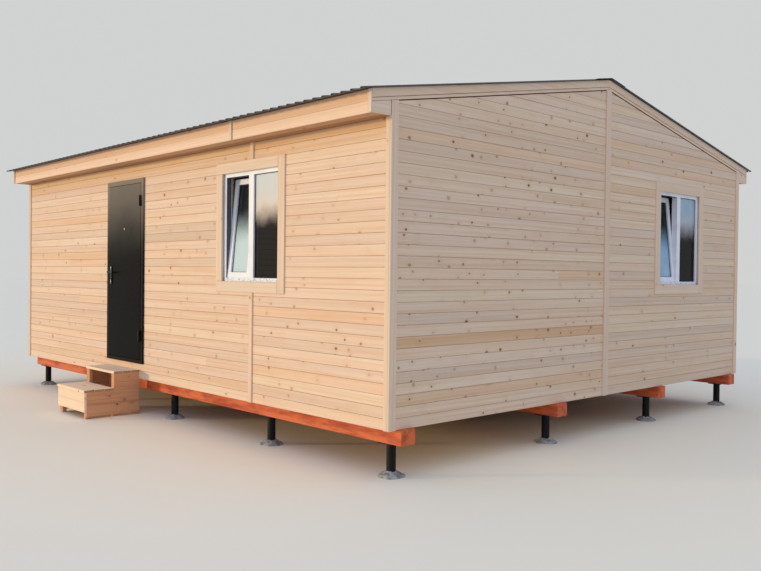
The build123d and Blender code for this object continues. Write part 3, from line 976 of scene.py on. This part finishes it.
def loopFrom(piece, width):
    # Opens a block from front to back, and leaves a rim of the given width
    pickFaces(piece, lambda normal: abs(normal.y) > 0.5)
    bpy.ops.mesh.inset(thickness=width, depth=0)
    bpy.ops.mesh.bridge_edge_loops()
    bpy.ops.mesh.select_all(action="SELECT")
    bpy.ops.mesh.normals_make_consistent(inside=False)
    setMode("OBJECT")
    return piece


def gasketRing(width, height, face):
    # In the x-z plane, from z = 0 up, standing in front of the pane
    low = (-width / 2, face - glazing["proud"], 0)
    ring = loopFrom(startBlock(low, (width / 2, face, height)), glazing["gasket"])
    return soften(ring, glazing["gasketEdge"])


def buildGlazing(window):
    back = windowTurn(window).inverted()

    def localBox(part):
        node = nodes[window + part]
        return spanOf([back @ node.matrix_world @ v.co for v in node.data.vertices])

    low, high = localBox("_glass")
    sashLow, sashHigh = localBox("_sash_glass")
    frameLow, frameHigh = localBox("_frame")
    fixed = gasketRing(high.x - low.x, high.z - low.z, low.y)
    placed(fixed, ((low.x + high.x) / 2, 0, low.z))
    # The tilted light's loop is made upright and then tilted with it
    tilt = math.radians(glazing["tilt"])
    lift = (high.y - low.y) * math.sin(tilt)
    tall = (sashHigh.z - sashLow.z - lift) / math.cos(tilt)
    tilted = gasketRing(sashHigh.x - sashLow.x, tall, 0)
    placed(tilted, ((sashLow.x + sashHigh.x) / 2, sashLow.y, sashLow.z + lift), -tilt)
    windowPiece(window, "Gaskets", [fixed, tilted], "rubber")

    # Dark seals lie on the frame beside and over the tilted light, reaching deep into the reveal as a
    # painted shade
    edge, thin = low.z - frameLow.z, glazing["seal"]
    left, right = frameLow.x + edge, sashHigh.x + edge
    base, top = frameLow.z + edge, frameHigh.z - edge
    front, rear = frameLow.y + glazing["sealFrom"], frameLow.y + glazing["sealTo"]
    upright = softBlock((left, front, base), (left + thin, rear, top), glazing["sealEdge"], 1)
    level = softBlock((left, front, top - thin), (right, rear, top), glazing["sealEdge"], 1)
    windowPiece(window, "SealsAndShade", [upright, level], "seal")
    covers = []
    for share in glazing["coverShares"]:
        x = frameLow.x + (frameHigh.x - frameLow.x) * share
        half, z = glazing["coverWide"] / 2, frameLow.z + glazing["coverUp"]
        covers.append(softBlock((x - half, frameLow.y - glazing["coverProud"], z),
                                (x + half, frameLow.y, z + glazing["coverHigh"]), glazing["coverEdge"]))
    windowPiece(window, "DrainCovers", covers, "plastic")


# Steps, of boards on square posts

stepLook = {
    "treadBoards": 3, "sideBoards": 2, "treadGap": 0.0008, "gap": 0.0006, "edge": 0.003,
    "endGrain": (0.45, 0.36, 0.28),
}


def buildSteps():
    lower, upper = sorted(looseBoxes("step_treads"), key=lambda pair: pair[0].z)
    count, gap = stepLook["sideBoards"], stepLook["gap"]
    boards = []
    for low, high in (lower, upper):
        treads = splitBoards(low, high, "X", "Y", stepLook["treadBoards"], stepLook["treadGap"],
                             stepLook["edge"])
        boards += [tintWhere(piece, lambda point: min(point.x - low.x, high.x - point.x) < 0.0005,
                             stepLook["endGrain"]) for piece in treads]
    trimPiece("treadBoards", boards, "step_treads", "treadBoards")
    boards = []
    for low, high in looseBoxes("step_sides"):
        split = lower[0].z
        boards += splitBoards(low, (high.x, high.y, split), "Y", "Z", count, gap)
        boards += splitBoards((low.x, lower[1].y, split), high, "Y", "Z", count, gap)
    trimPiece("stepSideBoards", boards, "step_sides", "stepBoards")
    boards = splitBoards(*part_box("step_front"), "X", "Z", count, gap)
    trimPiece("stepFrontBoards", boards, "step_front", "treadBoards")
    uprightBoards("stepPostBoards", "step_posts", stepLook["edge"], "stepBoards")
    print("steps boarded")


# Concrete feet: one lump is modelled, then turned and copied under each pile

footLook = {
    "radius": 0.118, "mound": 0.05, "rim": 0.008, "lumps": 0.007, "lowest": 0.004, "sides": 36,
    "rings": (0.012, 0.016, 0.016, 0.016, 0.014, 0.012), "waves": 4, "pull": (0.02, 0.07),
}


def shapeFoot(foot):
    # Pulls the outline in by a few waves and heaps the middle up
    wave = [(chance.uniform(0, 6.3), chance.uniform(*footLook["pull"])) for k in range(footLook["waves"])]
    for v in foot.data.vertices:
        angle = math.atan2(v.co.y, v.co.x)
        pull = 1 - sum(size * (1 + math.sin(angle * (k + 2) + turn)) / 2
                       for k, (turn, size) in enumerate(wave))
        share = v.co.xy.length / footLook["radius"]
        v.co.x *= pull
        v.co.y *= pull
        if v.co.z > 0.001:
            rise = footLook["mound"] * max(0.0, 1 - share) ** 0.8
            v.co.z += rise + chance.uniform(-1, 1) * footLook["lumps"] * (1 - 0.5 * share)
            v.co.z = max(v.co.z, footLook["lowest"])


def buildFeet():
    rim = footLook["rim"]
    lump = startRound(footLook["radius"], rim, (0, 0, rim / 2), footLook["sides"])
    pickFaces(lump, lambda normal: normal.z > 0.5)
    for step in footLook["rings"]:
        bpy.ops.mesh.inset(thickness=step, depth=0)
    setMode("OBJECT")
    made = []
    for low, high in looseBoxes("pile_feet"):
        foot = placed(copyOf(lump), (0, 0, 0), chance.uniform(0, math.pi), "Z")
        shapeFoot(foot)
        made.append(placed(foot, ((low.x + high.x) / 2, (low.y + high.y) / 2, low.z)))
    bpy.data.objects.remove(lump)
    finished(joined("concreteFeet", made), "concrete", "cabin", ["pile_feet"])
    print("feet cast")


# Door: bright parts of the lock, and the seal on the frame's stop

doorLook = {
    "plate": 0.009, "lockIn": 0.021, "leverUp": 0.14, "keyDrop": 0.07,
    "rose": 0.0125, "roseThick": 0.002, "roseRim": 0.003, "roseDish": 0.0008, "roseEdge": 0.0004,
    "roseSides": 32,
    "endWide": 0.012, "endHigh": 0.045, "endIn": 0.028, "endProud": 0.0012, "endEdge": 0.0011,
    "seal": 0.006, "sealWide": 0.012, "sealLap": 0.002, "sealEdge": 0.0015, "stop": 0.025,
}


def buildDoor():
    low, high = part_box("door_handles")
    leafLow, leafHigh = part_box("door_leaf")
    plate = leafLow.y - doorLook["plate"]
    x = low.x + doorLook["lockIn"]
    lever = low.z + doorLook["leverUp"]
    bright = []
    for z in (lever, lever - doorLook["keyDrop"]):
        centre = (x, plate - doorLook["roseThick"] / 2, z)
        rose = startRound(doorLook["rose"], doorLook["roseThick"], centre, doorLook["roseSides"],
                          (math.pi / 2, 0, 0))
        pickFaces(rose, lambda normal: normal.y < -0.5)
        bpy.ops.mesh.inset(thickness=doorLook["roseRim"], depth=-doorLook["roseDish"])
        setMode("OBJECT")
        bright.append(soften(rose, doorLook["roseEdge"]))
    half = Vector((doorLook["endWide"] / 2, 0, doorLook["endHigh"] / 2))
    for z in (low.z + doorLook["endIn"], high.z - doorLook["endIn"]):
        spot = Vector((x, plate, z))
        proud = Vector((0, doorLook["endProud"], 0))
        bright.append(softBlock(spot - half - proud, spot + half, doorLook["endEdge"]))
    roses = joined("lockRoses", bright)
    activate(roses)
    bpy.ops.object.shade_smooth_by_angle(angle=sharpAngle)
    finished(roses, "bright", "door")
    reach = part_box("door_frame")[1].y - doorLook["stop"]
    lap = doorLook["sealLap"]
    seal = startBlock((leafLow.x - lap, reach - doorLook["seal"], leafLow.z - lap),
                      (leafHigh.x + lap, reach, leafHigh.z + lap), "doorSeal")
    loopFrom(seal, doorLook["sealWide"])
    finished(soften(seal, doorLook["sealEdge"]), "rubber")
    print("door finished")


# Raised edges of the rear roof sheet, and screws of which one is modelled and the rest copied

edgeLook = {"wide": 0.022, "high": 0.0135, "bevel": 0.003, "inset": 0.0005, "sheet": 0.002}


def buildSheetEdges():
    low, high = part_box("roof_sheet_rear")
    reach = high.y - middle
    sheet = edgeLook["sheet"]
    edges = []
    for sign in (1, -1):
        x0, x1 = (sign * (high.x - edgeLook[name]) for name in ("inset", "wide"))
        edges.append(slopedBoard(x0, x1, 1, -edgeLook["high"] - sheet, -sheet, reach, edgeLook["bevel"], 2))
    finished(joined("sheetEdges", edges), "roof")
    print("sheet edges raised")


screwLook = {
    "sides": 10, "washer": 0.0095, "washerThick": 0.002, "head": 0.006, "headHigh": 0.005,
    "headEdge": 0.0012, "lift": 0.0021, "fromEdge": 0.018, "spacing": 0.112, "every": 2,
    "rows": (0.16, 1.25, 2.35, 2.9),
}


def buildScrews():
    thick = screwLook["washerThick"]
    pattern = startRound(screwLook["washer"], thick, (0, 0, thick / 2), screwLook["sides"])
    pickFaces(pattern, lambda normal: normal.z > 0.5)
    bpy.ops.mesh.inset(thickness=screwLook["washer"] - screwLook["head"], depth=0)
    bpy.ops.mesh.extrude_region_move(TRANSFORM_OT_translate={"value": (0, 0, screwLook["headHigh"])})
    setMode("OBJECT")
    onHead = thick + screwLook["headHigh"] / 2
    bevelWhere(pattern, lambda a, b: min(a.z, b.z) > onHead, screwLook["headEdge"], 1)
    low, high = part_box("roof_sheet_front")
    spacing = screwLook["spacing"]
    count = int(2 * (high.x - screwLook["fromEdge"]) // spacing)
    first = spacing / 2 - spacing * count / 2
    eave = middle - low.y
    made = []
    for side in (-1, 1):
        for row in screwLook["rows"]:
            y = side * (eave - row)
            z = roof["ridge"] - abs(y) * roof["slope"] + screwLook["lift"] / math.cos(roof["angle"])
            for i in range(0, count, screwLook["every"]):
                spot = (first + spacing * i, middle + y, z)
                made.append(placed(copyOf(pattern), spot, -side * roof["angle"]))
    bpy.data.objects.remove(pattern)
    finished(joined("roofScrews", made), "bright")
    print("roof screwed down")


# Camera and light

cameraLook = {
    "place": (8.1257, -7.2889, 1.5801), "lens": 39.05, "sensor": 36, "sees": 500,
    "right": (0.6833, 0.7302, 0.0111), "up": (-0.0176, 0.0013, 0.9998),
}


def buildCamera():
    camera = bpy.data.cameras.new("camera")
    camera.lens = cameraLook["lens"]
    camera.sensor_width = cameraLook["sensor"]
    camera.clip_end = cameraLook["sees"]
    holder = newObject("camera", camera)
    right = Vector(cameraLook["right"]).normalized()
    up = Vector(cameraLook["up"])
    up = (up - right * up.dot(right)).normalized()
    turn = Matrix((right, up, right.cross(up))).transposed().to_4x4()
    spot = Vector(cameraLook["place"]) + Vector((0, middle, 0))
    holder.matrix_world = Matrix.Translation(spot) @ turn
    bpy.context.scene.camera = holder


lightLook = {
    "sky": (0.32, 0.425, 0.62),
    "backdrop": (0.635, 0.648, 0.643),
    "floor": (0.98, 0.90, 0.74), "floorSize": 400,
    "suns": {
        "key": {"tint": (1.0, 0.79, 0.42), "power": 1.78, "soft": 6, "from": (-0.8, -1.0, 0.13)},
        "above": {"tint": (1.0, 0.93, 0.86), "power": 0.85, "soft": 110, "from": (0.15, -0.25, 1.0)},
    },
}


def buildLight():
    scene = bpy.context.scene
    scene.view_settings.view_transform = "Standard"
    scene.world = bpy.data.worlds.new("studio")
    studio = Finish("studio", scene.world, "ShaderNodeOutputWorld")
    rays = studio.node("ShaderNodeLightPath")
    camera, glossy, through = (Value(studio, rays.outputs["Is " + kind + " Ray"])
                               for kind in ("Camera", "Glossy", "Transmission"))
    sky, backdrop = (studio.out("ShaderNodeBackground", None, {0: (*lightLook[name], 1), 1: 1.0})
                     for name in ("sky", "backdrop"))
    seen = camera.highest(through).highest(glossy)
    studio.close(studio.out("ShaderNodeMixShader", None, {0: seen, 1: sky, 2: backdrop}))
    for name, look in lightLook["suns"].items():
        lamp = bpy.data.lights.new(name, "SUN")
        lamp.energy = look["power"]
        lamp.color = look["tint"]
        lamp.angle = math.radians(look["soft"])
        newObject(name, lamp).rotation_euler = Vector(look["from"]).to_track_quat("Z", "Y").to_euler()


def buildFloor():
    deselectAll()
    bpy.ops.mesh.primitive_plane_add(size=lightLook["floorSize"], location=(0, 0, 0))
    floor = bpy.context.object
    floor.name = "studioFloor"
    finish = Finish("studioFloor")
    cloud = finish.noise(0.4, 2.0)
    colour = finish.mix(cloud, lightLook["floor"], scaled(lightLook["floor"], 0.98))
    floor.data.materials.append(finish.surface(colour, 0.9, shine=0.1))
    print("stage ready")


dressNodes()
buildCladding()
buildEaves()
buildBarges()
buildUprights()
for window in ("front_window", "side_window"):
    buildCasing(window)
    buildGlazing(window)
print("windows finished")
buildSteps()
buildFeet()
buildDoor()
buildSheetEdges()
buildScrews()
buildCamera()
buildLight()
buildFloor()
